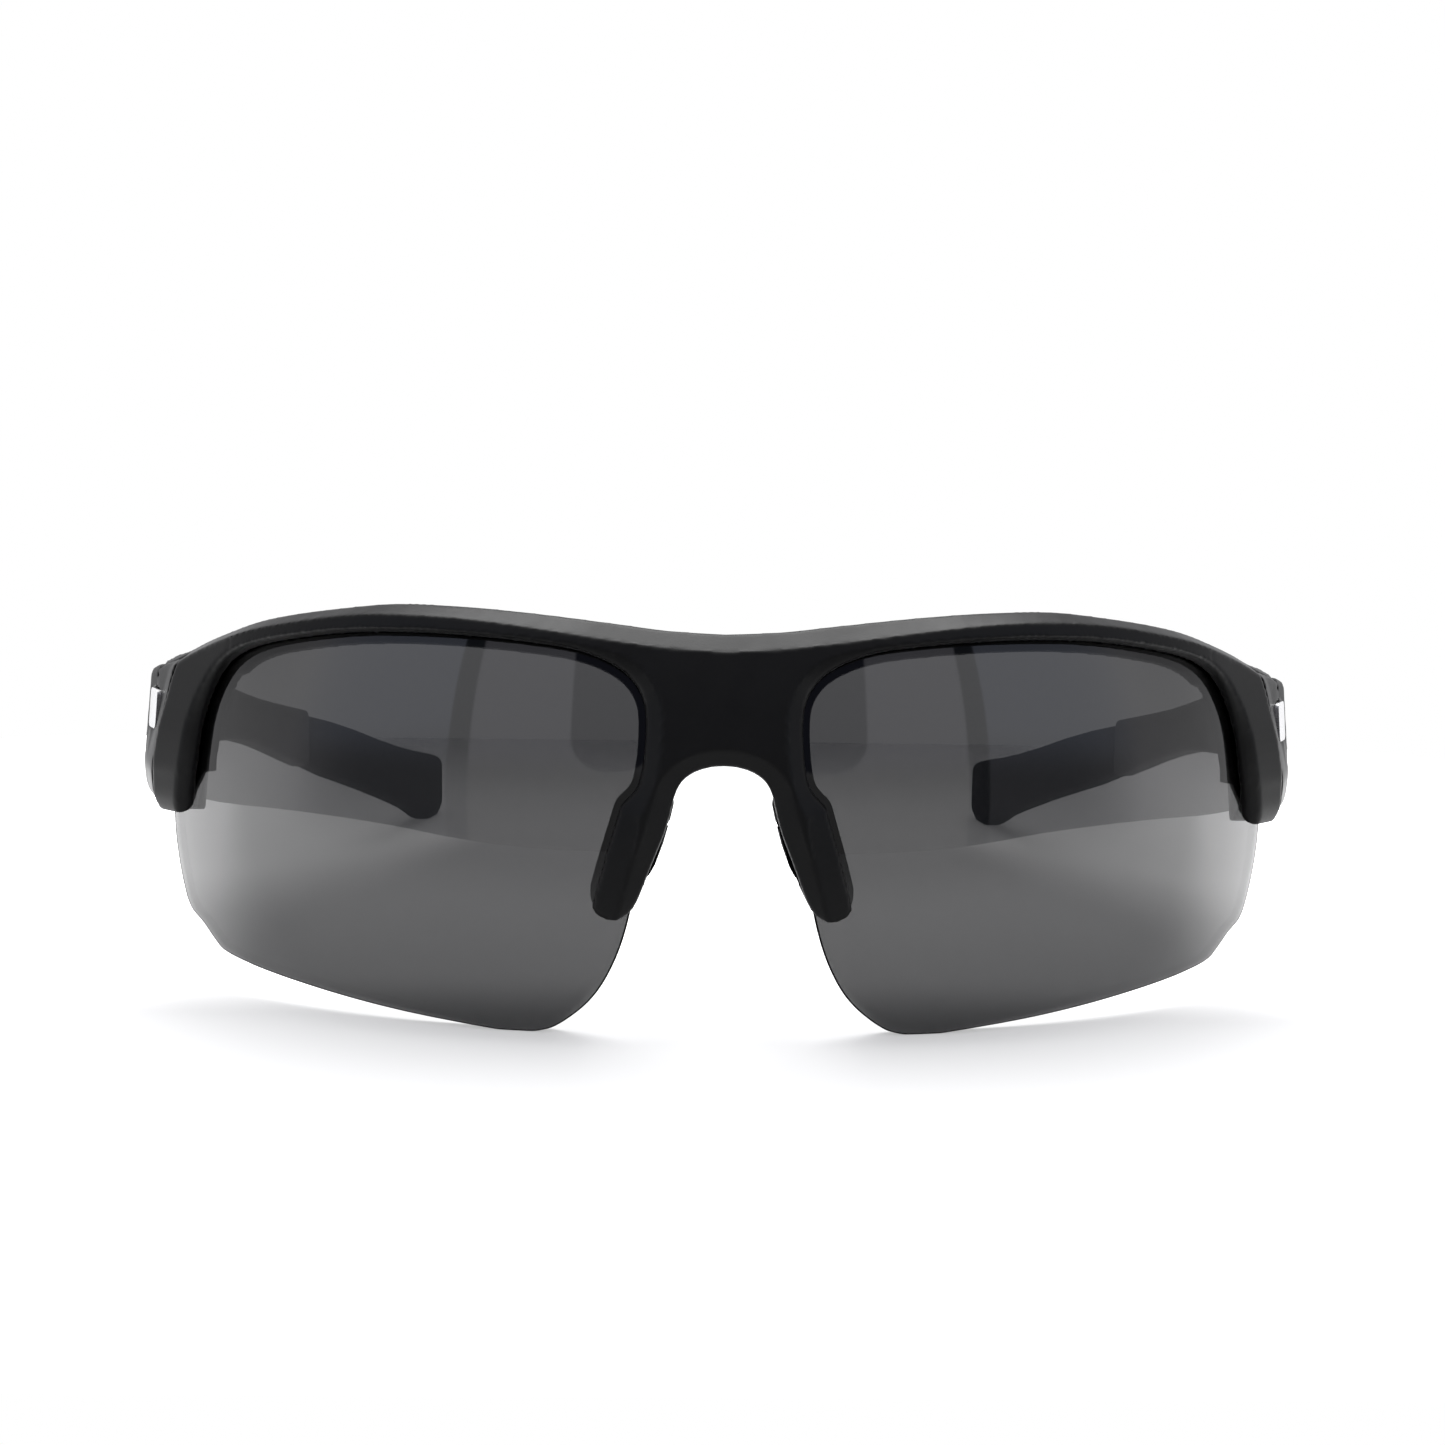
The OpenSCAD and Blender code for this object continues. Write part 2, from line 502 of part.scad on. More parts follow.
// Depth of the recess for the badge in the cheek, and thickness of the badge
badge_sunk = 0.35;
badge_t = 0.45;
module badge_place(d) {
    translate([67.43, -0.6, 32.8]) rotate([0, 0, -26.6]) rotate([0, 85, 0]) translate([0, 0, d]) children();
}
module badge_plate(g, h) {
    linear_extrude(h) offset(r = 0.7 + g, $fn = 24) square([3.3, 1.9], center = true);
}
module temple_shape() {
    difference() {
        union() {
            difference() {
                loft([for (s = temple_secs) section(s, 0, edge_r)]);
                end_core();
            }
            sleeve_room(0);
        }
        translate([hinge_x, hinge_y, hinge_z - 12]) cylinder(r = barrel_r + 0.4, h = 24, $fn = 40);
        bar(hinge_x - 2, hinge_x + barrel_r + 0.05, hinge_y, temple_leaf_y + 0.1,
            hinge_z - 2.95, hinge_z + 2.45);
        at_temple_screws() translate([0, 0, 0.2])
            cylinder(r = leaf_screw_r + 0.06, h = temple_screw_l, $fn = 24);
        badge_place(-badge_sunk) badge_plate(0.05, 2);
    }
}
module sleeve_shape() {
    intersection() {
        difference() {
            loft([for (s = sleeve_secs) section(s, 0, edge_r * 1.5)]);
            sleeve_room(sleeve_gap);
        }
        translate([0, 40, 0]) cube([100, 100, 60]);
    }
}

// ---- Nodes ----------------------------------------------------------------------------------

module left_lens() { color(smoke) in_frame() side(1) lens_shape(); }
module right_lens() { color(smoke) in_frame() side(-1) lens_shape(); }
module left_nose_pad() { color(rubber) in_frame() side(1) nose_pad_shape(); }
module right_nose_pad() { color(rubber) in_frame() side(-1) nose_pad_shape(); }
module left_front_hinge_leaf() { color(steel) in_frame() side(1) front_leaf_shape(); }
module right_front_hinge_leaf() { color(steel) in_frame() side(-1) front_leaf_shape(); }
module left_front_leaf_screws() { color(steel) in_frame() side(1) at_front_screws() leaf_screw(front_screw_l); }
module right_front_leaf_screws() { color(steel) in_frame() side(-1) at_front_screws() leaf_screw(front_screw_l); }
module left_hinge_screw() { color(steel) in_frame() side(1) hinge_screw_shape(); }
module right_hinge_screw() { color(steel) in_frame() side(-1) hinge_screw_shape(); }
module left_hinge_washers() { color(nylon) in_frame() side(1) washers_shape(); }
module right_hinge_washers() { color(nylon) in_frame() side(-1) washers_shape(); }
module left_temple() { color(black) in_frame() side(1) temple_shape(); }
module right_temple() { color(black) in_frame() side(-1) temple_shape(); }
module left_temple_hinge_leaf() { color(steel) in_frame() side(1) temple_leaf_shape(); }
module right_temple_hinge_leaf() { color(steel) in_frame() side(-1) temple_leaf_shape(); }
module left_temple_leaf_screws() { color(steel) in_frame() side(1) at_temple_screws() leaf_screw(temple_screw_l); }
module right_temple_leaf_screws() { color(steel) in_frame() side(-1) at_temple_screws() leaf_screw(temple_screw_l); }
module left_temple_sleeve() { color(rubber) in_frame() side(1) sleeve_shape(); }
module right_temple_sleeve() { color(rubber) in_frame() side(-1) sleeve_shape(); }
module left_temple_badge() { color(silver) in_frame() side(1) badge_place(0.05 - badge_sunk) badge_plate(0, badge_t); }
module right_temple_badge() { color(silver) in_frame() side(-1) badge_place(0.05 - badge_sunk) badge_plate(0, badge_t); }

front_frame();
left_lens();
right_lens();
left_nose_pad();
right_nose_pad();
left_front_hinge_leaf();
right_front_hinge_leaf();
left_front_leaf_screws();
right_front_leaf_screws();
left_hinge_screw();
right_hinge_screw();
left_hinge_washers();
right_hinge_washers();
left_temple();
right_temple();
left_temple_hinge_leaf();
right_temple_hinge_leaf();
left_temple_leaf_screws();
right_temple_leaf_screws();
left_temple_sleeve();
right_temple_sleeve();
left_temple_badge();
right_temple_badge();
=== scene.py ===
"""Wraparound half-frame sport sunglasses, open, standing on a white table under soft studio light.

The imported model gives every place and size. The moulded parts are remeshed copies of their nodes with
soft edges, the lenses are lain exactly on their spheres, and the metal parts keep their own meshes.
Lengths are in metres, +X is the wearer's left, +Y points back along the temples, +Z is up.
"""

import json
import math

import bmesh
import bpy
from mathutils import Matrix, Vector

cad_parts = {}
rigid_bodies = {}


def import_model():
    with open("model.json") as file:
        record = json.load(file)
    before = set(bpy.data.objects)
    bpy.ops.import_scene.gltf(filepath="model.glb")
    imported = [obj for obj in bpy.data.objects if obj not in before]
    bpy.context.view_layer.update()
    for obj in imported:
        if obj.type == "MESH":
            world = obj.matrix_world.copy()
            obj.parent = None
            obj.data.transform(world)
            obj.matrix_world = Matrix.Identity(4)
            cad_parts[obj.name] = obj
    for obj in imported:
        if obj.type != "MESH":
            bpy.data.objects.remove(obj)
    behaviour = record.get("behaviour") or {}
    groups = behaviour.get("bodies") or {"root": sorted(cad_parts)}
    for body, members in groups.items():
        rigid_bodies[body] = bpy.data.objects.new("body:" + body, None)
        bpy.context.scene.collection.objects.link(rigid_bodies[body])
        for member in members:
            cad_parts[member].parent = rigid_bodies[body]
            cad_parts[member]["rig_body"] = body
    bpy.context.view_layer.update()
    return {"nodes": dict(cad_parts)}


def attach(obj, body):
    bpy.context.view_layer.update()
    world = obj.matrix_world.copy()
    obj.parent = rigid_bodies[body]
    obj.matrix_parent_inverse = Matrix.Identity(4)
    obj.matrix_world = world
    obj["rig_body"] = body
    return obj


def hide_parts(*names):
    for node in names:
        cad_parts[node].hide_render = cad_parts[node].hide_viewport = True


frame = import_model()
MM = 0.001
SIDES = {"left": 1, "right": -1}

FRONT_SHIFT = 44.11  # mm by which the part's source moves everything forward to centre it

# The lens spheres, as in the part's source: radius, thickness and the place of the left centre
LENS_R = 66 * MM
LENS_T = 1.8 * MM
LENS_CENTRE = Vector((13 * MM, (37.9 - FRONT_SHIFT) * MM, 23 * MM))
# How far the frame stands before and behind the lens, and the half width of its even face
FRONT_LIP = 1.8 * MM
REAR_LIP = 1.4 * MM
FACE_HALF = 56.0 * MM
FACE_REACH = 0.09 * MM

# The lens's cut edge: its rounding, and each ring's inset as a share of that with its depth as a
# share of the thickness
EDGE_ROUND = 0.22 * MM
EDGE_PROFILE = ((0.3, 0.03), (0.0, 0.14), (0.0, 0.86), (0.3, 0.97))
RIM_POINTS = 480
FACE_STEPS = 40

# Fineness of the remeshed mouldings, and the bevel on the metal parts
FRONT_VOXEL = 0.29 * MM
PAD_VOXEL = 0.16 * MM
TEMPLE_VOXEL = 0.25 * MM
SLEEVE_VOXEL = 0.22 * MM
METAL_EDGE = 0.06 * MM
SAME_POINT = 1e-6
ON_SPHERE = 0.03 * MM

# The sheet, in metres, and the strength of the painted glow it gives off though it is no lamp: behind the
# lenses, at the sides, and a painted lift seen by the camera only; painted shade makes its near end darker
SHEET_HALF_X, SHEET_FRONT, SHEET_BACK, SHEET_CORNER = 0.2, -0.158, 0.17, 0.09
NEAR_FADE = (-0.14, -0.085)
BEHIND_LENS = (-0.062, -0.04)
BACK_FADE_START = 0.05
ASIDE = (0.066, 0.105)
BACK_PAINTED_GLOW = 0.8
SIDE_PAINTED_GLOW = 1.3
CAMERA_PAINTED_LIFT = 0.42
NEAR_PAINTED_LIFT = 0.45
NEAR_PAINTED_SHADE, SHEET_WHITE = 0.26, 0.5

# The camera: place, turns in radians, and lens and sensor in millimetres
CAMERA_PLACE = Vector((-4.447, -250 - FRONT_SHIFT, 63.883)) * MM
CAMERA_YAW, CAMERA_PITCH, CAMERA_ROLL = 0.0189, 0.1278, 0.0144
SENSOR_WIDTH = 36
FOCAL_LENGTH = 52.31834


# ---- Node helpers ---------------------------------------------------------------------------


class Shader:
    """A material under construction: short calls for the nodes the finishes are made of."""

    def __init__(self, name):
        self.material = bpy.data.materials.new(name)
        self.material.use_nodes = True
        self.tree = self.material.node_tree
        self.bsdf = self.tree.nodes["Principled BSDF"]
        self.coords = self.tree.nodes.new("ShaderNodeTexCoord").outputs["Object"]

    def node(self, kind, **values):
        made = self.tree.nodes.new(kind)
        for key, value in values.items():
            if hasattr(made, key):
                setattr(made, key, value)
            else:
                made.inputs[key.replace("_", " ")].default_value = value
        return made

    def link(self, out, socket):
        self.tree.links.new(out, socket)

    def set(self, **values):
        for key, value in values.items():
            self.bsdf.inputs[key.replace("_", " ")].default_value = value

    def noise(self, per_metre, detail=3.0, roughness=0.5, stretch=(1, 1, 1)):
        mapping = self.node("ShaderNodeMapping")
        mapping.inputs["Scale"].default_value = stretch
        self.link(self.coords, mapping.inputs["Vector"])
        made = self.node("ShaderNodeTexNoise", Scale=per_metre, Detail=detail, Roughness=roughness)
        self.link(mapping.outputs["Vector"], made.inputs["Vector"])
        return made.outputs["Fac"]

    def ramp(self, fac, stops):
        made = self.node("ShaderNodeValToRGB")
        elements = made.color_ramp.elements
        while len(elements) < len(stops):
            elements.new(0.5)
        for element, (place, colour) in zip(elements, stops):
            element.position = place
            element.color = (*colour, 1)
        self.link(fac, made.inputs["Fac"])
        return made.outputs["Color"]

    def bump(self, *layers):
        """Fine relief: (height, strength, distance) layers, one on top of the other."""
        normal = None
        for height, strength, distance in layers:
            made = self.node("ShaderNodeBump", Strength=strength, Distance=distance)
            self.link(height, made.inputs["Height"])
            if normal:
                self.link(normal, made.inputs["Normal"])
            normal = made.outputs["Normal"]
        self.link(normal, self.bsdf.inputs["Normal"])


def grey(v, tint=(1, 1, 1)):
    return tuple(v * t for t in tint)


# ---- Finishes -------------------------------------------------------------------------------


def moulded_nylon():
    s = Shader("satin_nylon")
    patches = s.noise(60, 4, 0.6)
    grain = s.noise(5200, 2, 0.5)
    s.link(s.ramp(patches, [(0.35, grey(0.0028)), (0.7, grey(0.0042, (1, 1, 1.03)))]),
           s.bsdf.inputs["Base Color"])
    s.link(s.ramp(s.noise(240, 5, 0.65), [(0.3, grey(0.36)), (0.75, grey(0.44))]), s.bsdf.inputs["Roughness"])
    s.bump((grain, 0.22, 0.00004), (patches, 0.05, 0.0002))
    s.set(Specular_IOR_Level=0.22)
    return s.material


def soft_rubber():
    s = Shader("soft_rubber")
    patches = s.noise(90, 4, 0.6)
    grain = s.noise(3600, 3, 0.6)
    s.link(s.ramp(patches, [(0.3, grey(0.0042)), (0.75, grey(0.0065))]), s.bsdf.inputs["Base Color"])
    s.link(s.ramp(grain, [(0.3, grey(0.62)), (0.7, grey(0.78))]), s.bsdf.inputs["Roughness"])
    s.bump((grain, 0.3, 0.00006))
    s.set(Specular_IOR_Level=0.3)
    return s.material


def tinted_lens():
    """Neutral grey polycarbonate; the colour is what one passage through the lens lets through."""
    s = Shader("grey_lens")
    s.link(s.ramp(s.noise(25, 2), [(0.3, (0.062, 0.062, 0.063)), (0.7, (0.065, 0.065, 0.0655))]),
           s.bsdf.inputs["Base Color"])
    s.set(Roughness=0.0, IOR=1.56, Transmission_Weight=1.0)
    return s.material


def lens_rim():
    """The cut edge, dark because light reaches it through centimetres of tint."""
    s = Shader("lens_edge")
    s.link(s.ramp(s.noise(400, 3), [(0.3, grey(0.010)), (0.7, grey(0.014))]), s.bsdf.inputs["Base Color"])
    s.set(Roughness=0.5, Specular_IOR_Level=0.0)
    return s.material


def brushed_steel(name="hinge_steel", base=0.55, rough=0.3):
    s = Shader(name)
    lines = s.noise(900, 3, 0.5, (1, 1, 14))
    s.link(s.ramp(lines, [(0.3, grey(rough)), (0.7, grey(rough + 0.14))]), s.bsdf.inputs["Roughness"])
    s.link(s.ramp(s.noise(150, 3), [(0.3, grey(base * 0.9)), (0.7, grey(base, (1, 1, 1.02)))]),
           s.bsdf.inputs["Base Color"])
    s.bump((lines, 0.12, 0.00002))
    s.set(Metallic=1.0)
    return s.material


def satin_silver():
    s = Shader("satin_silver")
    lines = s.noise(1400, 2, 0.5, (1, 1, 12))
    s.link(s.ramp(lines, [(0.3, grey(0.26)), (0.7, grey(0.36))]), s.bsdf.inputs["Roughness"])
    s.link(s.ramp(s.noise(300, 3), [(0.3, grey(0.74)), (0.7, grey(0.82, (1, 1, 1.01)))]),
           s.bsdf.inputs["Base Color"])
    s.bump((lines, 0.08, 0.00002))
    s.set(Metallic=1.0)
    return s.material


def white_nylon():
    s = Shader("washer_nylon")
    s.link(s.ramp(s.noise(500, 3), [(0.3, (0.72, 0.72, 0.68)), (0.7, (0.80, 0.80, 0.77))]),
           s.bsdf.inputs["Base Color"])
    s.link(s.ramp(s.noise(1500, 3), [(0.3, grey(0.38)), (0.7, grey(0.5))]), s.bsdf.inputs["Roughness"])
    s.set(Subsurface_Weight=0.1)
    return s.material


NYLON = moulded_nylon()
RUBBER = soft_rubber()
LENS = tinted_lens()
LENS_EDGE = lens_rim()
STEEL = brushed_steel()
SCREW_STEEL = brushed_steel("screw_steel", 0.62, 0.22)
SILVER = satin_silver()
WASHER = white_nylon()


# ---- Meshes ---------------------------------------------------------------------------------


def copy_of(node, name):
    """A new piece with the node's mesh, riding on the node's body and shown in its place."""
    source = frame["nodes"][node]
    made = bpy.data.objects.new(name, source.data.copy())
    bpy.context.scene.collection.objects.link(made)
    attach(made, source["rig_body"])
    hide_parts(node)
    return made


def apply_modifiers(obj):
    graph = bpy.context.evaluated_depsgraph_get()
    mesh = bpy.data.meshes.new_from_object(obj.evaluated_get(graph))
    obj.modifiers.clear()
    old = obj.data
    obj.data = mesh
    bpy.data.meshes.remove(old)


def weld(obj):
    bm = bmesh.new()
    bm.from_mesh(obj.data)
    bmesh.ops.remove_doubles(bm, verts=bm.verts, dist=SAME_POINT)
    bm.to_mesh(obj.data)
    bm.free()


def remeshed(node, name, voxel, smoothing, material, snap=None):
    """Copy of a node with even small faces and edges rounded by about a voxel."""
    obj = copy_of(node, name)
    weld(obj)
    remesh = obj.modifiers.new("even", "REMESH")
    remesh.mode = "VOXEL"
    remesh.voxel_size = voxel
    remesh.use_smooth_shade = True
    smooth = obj.modifiers.new("soft", "SMOOTH")
    smooth.factor = 0.5
    smooth.iterations = smoothing
    apply_modifiers(obj)
    if snap:
        snap(obj.data)
    for polygon in obj.data.polygons:
        polygon.use_smooth = True
    obj.data.materials.clear()
    obj.data.materials.append(material)
    return obj


def rim_of(node, centre):
    """The lens's outline as ordered (x, z) points: the edge between its outer sphere and its cut wall."""
    bm = bmesh.new()
    bm.from_mesh(frame["nodes"][node].data)
    bmesh.ops.remove_doubles(bm, verts=bm.verts, dist=SAME_POINT)

    def on_outside(face):
        return all(abs((v.co - centre).length - LENS_R) < ON_SPHERE for v in face.verts)
    rim = [e for e in bm.edges if len(e.link_faces) == 2
           and on_outside(e.link_faces[0]) != on_outside(e.link_faces[1])]
    links = {}
    for e in rim:
        for v in e.verts:
            links.setdefault(v.index, []).append(e.other_vert(v))
    bm.verts.ensure_lookup_table()
    start = bm.verts[min(links)]
    ordered, last, here = [], None, start
    while True:
        ordered.append(Vector((here.co.x, here.co.z)))
        onward = [v for v in links[here.index] if v is not last]
        last, here = here, onward[0]
        if here is start:
            break
    bm.free()
    return ordered


def evened(points, count):
    """The closed outline as count evenly spaced points, rounded very slightly at its corners."""
    lengths = [0.0]
    for a, b in zip(points, points[1:] + points[:1]):
        lengths.append(lengths[-1] + (b - a).length)
    out, k = [], 0
    for i in range(count):
        want = lengths[-1] * i / count
        while lengths[k + 1] < want:
            k += 1
        a, b = points[k], points[(k + 1) % len(points)]
        out.append(a.lerp(b, (want - lengths[k]) / max(lengths[k + 1] - lengths[k], 1e-12)))
    for _ in range(2):
        out = [(out[i - 1] + out[i] * 2 + out[(i + 1) % count]) / 4 for i in range(count)]
    return out


def lens_shell(side, sign):
    """The lens as rings of points on its two spheres, with a rounded, dark cut edge between them."""
    centre = Vector((LENS_CENTRE.x * sign, LENS_CENTRE.y, LENS_CENTRE.z))
    node = side + "_lens"
    outline = evened(rim_of(node, centre), RIM_POINTS)
    count = len(outline)
    middle = sum(outline, Vector((0, 0))) / count
    inward = []
    for i in range(count):
        along = (outline[(i + 1) % count] - outline[i - 1]).normalized()
        normal = Vector((-along.y, along.x))
        inward.append(normal if normal.dot(middle - outline[i]) > 0 else -normal)

    def height(p, radius):
        return centre.y - math.sqrt(radius ** 2 - (p.x - centre.x) ** 2 - (p.y - centre.z) ** 2)

    def ring(inset, depth):
        """Outline drawn in by inset, at a share depth of the way from the outer to the inner sphere."""
        made = []
        for p, n in zip(outline, inward):
            q = p + n * inset
            front, back = height(q, LENS_R), height(q, LENS_R - LENS_T)
            made.append((q.x, front + (back - front) * depth, q.y))
        return made

    def face_ring(share, radius):
        made = []
        for p, n in zip(outline, inward):
            q = middle.lerp(p + n * EDGE_ROUND, share)
            made.append((q.x, height(q, radius), q.y))
        return made

    shares = [k / FACE_STEPS for k in range(1, FACE_STEPS + 1)]
    rings = [face_ring(share, LENS_R) for share in shares]
    rings += [ring(EDGE_ROUND * inset, depth) for inset, depth in EDGE_PROFILE]
    rings += [face_ring(share, LENS_R - LENS_T) for share in reversed(shares)]
    points = [p for r in rings for p in r]
    faces = []
    for j in range(len(rings) - 1):
        for i in range(count):
            k = (i + 1) % count
            faces.append((j * count + i, j * count + k, (j + 1) * count + k, (j + 1) * count + i))
    first, last = len(points), len(points) + 1
    points += [(middle.x, height(middle, radius), middle.y) for radius in (LENS_R, LENS_R - LENS_T)]
    tail = (len(rings) - 1) * count
    for i in range(count):
        k = (i + 1) % count
        faces.append((first, k, i))
        faces.append((last, tail + i, tail + k))
    mesh = bpy.data.meshes.new(node + "_shell")
    mesh.from_pydata(points, [], faces)
    made = bpy.data.objects.new(node + "_shell", mesh)
    bpy.context.scene.collection.objects.link(made)
    bm = bmesh.new()
    bm.from_mesh(mesh)
    bmesh.ops.recalc_face_normals(bm, faces=bm.faces)
    bm.to_mesh(mesh)
    bm.free()
    mesh.materials.append(LENS)
    mesh.materials.append(LENS_EDGE)
    walls = range((FACE_STEPS - 1) * count, (FACE_STEPS + len(EDGE_PROFILE)) * count)
    for polygon in mesh.polygons:
        polygon.use_smooth = True
        if polygon.index in walls:
            polygon.material_index = 1
    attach(made, frame["nodes"][node]["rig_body"])
    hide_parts(node)


def lay_on_face(radii, reach):
    """Puts vertices near the frame's face back on it, where the remesh left ripples.

    The face is two spheres joined by a straight stretch, as far out as the flat of the end pieces.
    """
    def move(mesh):
        for vertex in mesh.vertices:
            if abs(vertex.co.x) > FACE_HALF:
                continue
            axis = LENS_CENTRE.copy()
            axis.x = max(-LENS_CENTRE.x, min(LENS_CENTRE.x, vertex.co.x))
            out = vertex.co - axis
            for radius in radii:
                if abs(out.length - radius) < reach:
                    vertex.co = axis + out * (radius / out.length)
    return move


remeshed("front_frame", "front_frame_moulding", FRONT_VOXEL, 3, NYLON,
         lay_on_face([LENS_R + FRONT_LIP, LENS_R - LENS_T - REAR_LIP], FACE_REACH))
for side, sign in SIDES.items():
    lens_shell(side, sign)
    remeshed(side + "_nose_pad", side + "_nose_pad_rubber", PAD_VOXEL, 6, RUBBER)
    remeshed(side + "_temple", side + "_temple_moulding", TEMPLE_VOXEL, 6, NYLON)
    remeshed(side + "_temple_sleeve", side + "_temple_sleeve_rubber", SLEEVE_VOXEL, 16, RUBBER)
    for node, material in {"_front_hinge_leaf": STEEL, "_temple_hinge_leaf": STEEL,
                           "_front_leaf_screws": SCREW_STEEL, "_temple_leaf_screws": SCREW_STEEL,
                           "_hinge_screw": SCREW_STEEL, "_hinge_washers": WASHER,
                           "_temple_badge": SILVER}.items():
        part = frame["nodes"][side + node]
        part.data.materials.clear()
        part.data.materials.append(material)
        edge = part.modifiers.new("edge", "BEVEL")
        edge.width = METAL_EDGE
        edge.segments = 2
        edge.limit_method = "ANGLE"
        edge.angle_limit = math.radians(40)


# ---- Table, light and camera ----------------------------------------------------------------


def sheet_with_painted_glow():
    """Paper with painted light: it glows behind the lenses and beside them though it is no lamp, and painted
    shade makes its near end darker.

    A painted lift, seen by camera rays only, makes the camera see it brighter than the lenses mirror it.
    """
    s = Shader("sheet_painted_glow")
    split = s.node("ShaderNodeSeparateXYZ")
    s.link(s.coords, split.inputs["Vector"])

    def between(place, start, end, low, high):
        made = s.node("ShaderNodeMapRange", interpolation_type="SMOOTHSTEP")
        for socket, value in zip(("From Min", "From Max", "To Min", "To Max"), (start, end, low, high)):
            made.inputs[socket].default_value = value
        s.link(place, made.inputs["Value"])
        return made.outputs["Result"]

    def total(first, second):
        made = s.node("ShaderNodeMath", operation="ADD")
        s.link(first, made.inputs[0])
        s.link(second, made.inputs[1])
        return made.outputs["Value"]

    # Painted light: a glow seen by camera rays only, stronger at the near end, so the camera sees white where
    # the lenses mirror the sheet darker
    direct = s.node("ShaderNodeLightPath").outputs["Is Camera Ray"]
    depth = split.outputs["Y"]
    painted_lift = s.node("ShaderNodeMath", operation="MULTIPLY")
    s.link(direct, painted_lift.inputs[0])
    s.link(between(depth, *NEAR_FADE, CAMERA_PAINTED_LIFT + NEAR_PAINTED_LIFT, CAMERA_PAINTED_LIFT), painted_lift.inputs[1])
    # Painted light: the sheet glows behind the lenses and beside them, though it is no lamp
    aside = s.node("ShaderNodeMath", operation="ABSOLUTE")
    s.link(split.outputs["X"], aside.inputs[0])
    painted_glow = total(between(depth, *BEHIND_LENS, 0.0, BACK_PAINTED_GLOW),
                 between(depth, BACK_FADE_START, SHEET_BACK, 0.0, -BACK_PAINTED_GLOW))
    painted_glow = total(painted_glow, between(aside.outputs["Value"], *ASIDE, 0.0, SIDE_PAINTED_GLOW))
    s.link(total(painted_glow, painted_lift.outputs["Value"]), s.bsdf.inputs["Emission Strength"])
    # Painted shade: the base colour is darker towards the near end, so the lenses mirror that end dimmer
    s.link(s.ramp(between(depth, *NEAR_FADE, 0.0, 1.0), [(0.0, grey(NEAR_PAINTED_SHADE)), (1.0, grey(SHEET_WHITE))]),
           s.bsdf.inputs["Base Color"])
    s.set(Roughness=0.6, Specular_IOR_Level=0.2, Emission_Color=(1, 1, 1, 1))
    return s.material


def table():
    """A white sheet with rounded corners, which is also what the lower half of each lens mirrors."""
    corner = SHEET_CORNER
    right, left = SHEET_HALF_X - corner, corner - SHEET_HALF_X
    far, near = SHEET_BACK - corner, SHEET_FRONT + corner
    ring = []
    for cx, cy, start in ((right, far, 0), (left, far, 90), (left, near, 180), (right, near, 270)):
        for step in range(13):
            turn = math.radians(start + 7.5 * step)
            ring.append((cx + corner * math.cos(turn), cy + corner * math.sin(turn), 0))
    mesh = bpy.data.meshes.new("table")
    mesh.from_pydata(ring, [], [list(range(len(ring)))])
    mesh.materials.append(sheet_with_painted_glow())
    made = bpy.data.objects.new("table", mesh)
    bpy.context.scene.collection.objects.link(made)


class WorldNodes:
    """Arithmetic on a direction, for the surroundings."""

    def __init__(self, tree):
        self.tree = tree
        coords = tree.nodes.new("ShaderNodeTexCoord")
        split = tree.nodes.new("ShaderNodeSeparateXYZ")
        tree.links.new(coords.outputs["Generated"], split.inputs[0])
        self.x, self.y, self.z = (split.outputs[i] for i in range(3))

    def math(self, operation, *values):
        made = self.tree.nodes.new("ShaderNodeMath")
        made.operation = operation
        for socket, value in zip(made.inputs, values):
            if isinstance(value, (int, float)):
                socket.default_value = value
            else:
                self.tree.links.new(value, socket)
        return made.outputs[0]

    def step(self, value, low, high):
        """0 below low, 1 above high, smooth between."""
        made = self.tree.nodes.new("ShaderNodeMapRange")
        made.interpolation_type = "SMOOTHSTEP"
        made.inputs["From Min"].default_value = low
        made.inputs["From Max"].default_value = high
        self.tree.links.new(value, made.inputs["Value"])
        return made.outputs["Result"]

    def mix(self, fac, a, b):
        made = self.tree.nodes.new("ShaderNodeMix")
        made.data_type = "RGBA"
        sockets = [made.inputs["Factor"], made.inputs[6], made.inputs[7]]
        for socket, value in zip(sockets, (fac, a, b)):
            if isinstance(value, tuple):
                socket.default_value = (*value, 1)
            elif isinstance(value, (int, float)):
                socket.default_value = value
            else:
                self.tree.links.new(value, socket)
        return made.outputs[2]


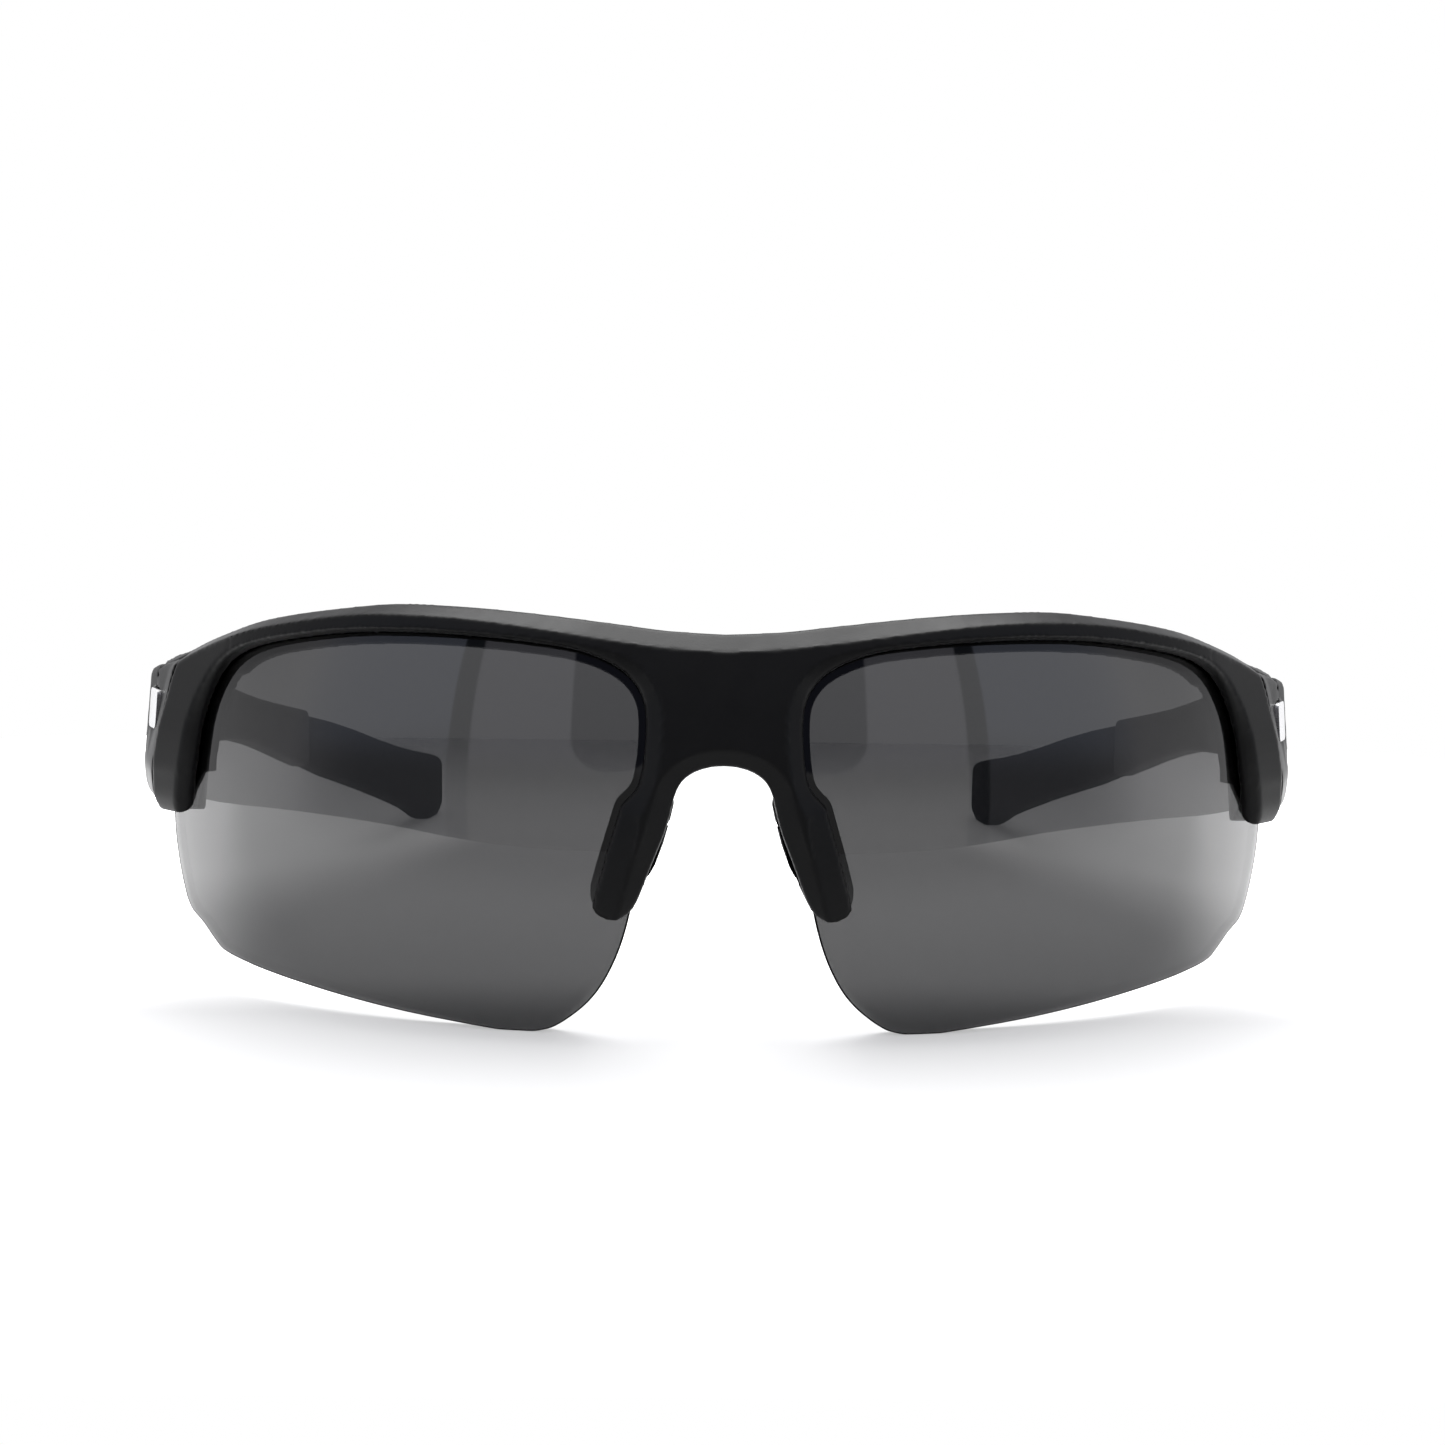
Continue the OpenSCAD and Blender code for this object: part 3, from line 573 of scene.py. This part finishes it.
def world():
    """A light tent: bright top and sides, white back, a dimmer front cloth with a dark round-cornered
    opening and two dark poles. The camera itself sees plain white."""
    made = bpy.data.worlds.new("tent")
    bpy.context.scene.world = made
    made.use_nodes = True
    tree = made.node_tree
    w = WorldNodes(tree)
    top_white, floor_white = (0.9, 0.9, 0.92), (0.9, 0.9, 0.9)
    lower_side, upper_side = (0.7, 0.7, 0.72), (0.45, 0.45, 0.47)
    lower_back, upper_back = (1.15, 1.15, 1.17), (0.7, 0.7, 0.72)
    lower_cloth, upper_cloth = (0.28, 0.28, 0.285), (0.58, 0.58, 0.65)
    lower_flank, upper_flank, far_flank = (0.25, 0.26, 0.29), (0.46, 0.50, 0.62), (0.7, 0.7, 0.74)
    pole_dark, opening_dark = (0.08, 0.09, 0.11), (0.08, 0.085, 0.12)
    pole_inner, pole_outer, flank_edge = (0.60, 0.62), (0.72, 0.74), (0.62, 0.64)
    # how far round from the front a direction lies, and its slopes against the front wall
    ahead = w.math("MULTIPLY", w.y, -1)
    safe = w.math("MAXIMUM", ahead, 0.02)
    slope_x = w.math("ABSOLUTE", w.math("DIVIDE", w.x, safe))
    slope_z = w.math("DIVIDE", w.z, safe)
    is_front = w.step(ahead, 0.0, 0.35)

    side = w.mix(w.step(w.z, 0.02, 0.45), lower_side, upper_side)
    back = w.mix(w.step(w.z, 0.15, 0.5), lower_back, upper_back)
    around = w.mix(w.step(w.y, 0.0, 0.5), side, back)
    around = w.mix(w.step(w.z, 0.6, 0.9), around, top_white)
    below = w.mix(w.step(w.z, -0.25, -0.02), floor_white, around)

    cloth = w.mix(w.step(slope_z, 0.02, 0.16), lower_cloth, upper_cloth)
    outer = w.mix(w.step(slope_z, 0.0, 0.3), lower_flank, upper_flank)
    outer = w.mix(w.step(slope_x, 1.2, 4.0), outer, far_flank)
    cloth = w.mix(w.step(slope_x, *flank_edge), cloth, outer)
    pole = w.math("MULTIPLY", w.step(slope_x, *pole_inner),
                  w.math("SUBTRACT", 1, w.step(slope_x, *pole_outer)))
    cloth = w.mix(pole, cloth, pole_dark)
    # opening: a round-cornered rectangle about the camera, in slopes
    reach_x = w.math("MAXIMUM", w.math("SUBTRACT", slope_x, 0.03), 0)
    reach_z = w.math("MAXIMUM", w.math("SUBTRACT", 0.19, slope_z), 0)
    away = w.math("SQRT", w.math("ADD", w.math("POWER", reach_x, 2), w.math("POWER", reach_z, 2)))
    opening = w.math("SUBTRACT", 1, w.step(away, 0.125, 0.14))
    cloth = w.mix(opening, cloth, opening_dark)
    cloth = w.mix(w.step(w.z, 0.55, 0.85), cloth, top_white)

    seen = w.mix(is_front, below, cloth)
    path = tree.nodes.new("ShaderNodeLightPath")
    shown = w.mix(path.outputs["Is Camera Ray"], seen, (1.0, 1.0, 1.0))
    tree.links.new(shown, tree.nodes["Background"].inputs[0])


def area(name, place, aim, size, watts):
    light = bpy.data.lights.new(name, "AREA")
    light.shape = "RECTANGLE"
    light.size, light.size_y = size
    light.energy = watts
    made = bpy.data.objects.new(name, light)
    bpy.context.scene.collection.objects.link(made)
    made.location = place
    made.rotation_euler = (Vector(aim) - Vector(place)).to_track_quat("-Z", "Y").to_euler()
    made.visible_camera = False


def camera():
    yaw, pitch, roll = CAMERA_YAW, CAMERA_PITCH, CAMERA_ROLL
    forward = Vector((math.sin(yaw) * math.cos(pitch), math.cos(yaw) * math.cos(pitch), -math.sin(pitch)))
    across = Vector((math.cos(yaw), -math.sin(yaw), 0))
    up = across.cross(forward)
    x = across * math.cos(roll) + up * math.sin(roll)
    y = up * math.cos(roll) - across * math.sin(roll)
    lens = bpy.data.cameras.new("camera")
    lens.sensor_width = SENSOR_WIDTH
    lens.lens = FOCAL_LENGTH
    lens.clip_start = 0.01
    lens.clip_end = 20
    made = bpy.data.objects.new("camera", lens)
    bpy.context.scene.collection.objects.link(made)
    made.matrix_world = Matrix((x, y, -forward)).transposed().to_4x4()
    made.location = CAMERA_PLACE
    bpy.context.scene.camera = made


table()
world()
camera()
area("overhead", (0, 0.10, 0.6), (0, 0, 0), (0.46, 0.46), 4.2)
bpy.context.scene.view_settings.view_transform = "Standard"
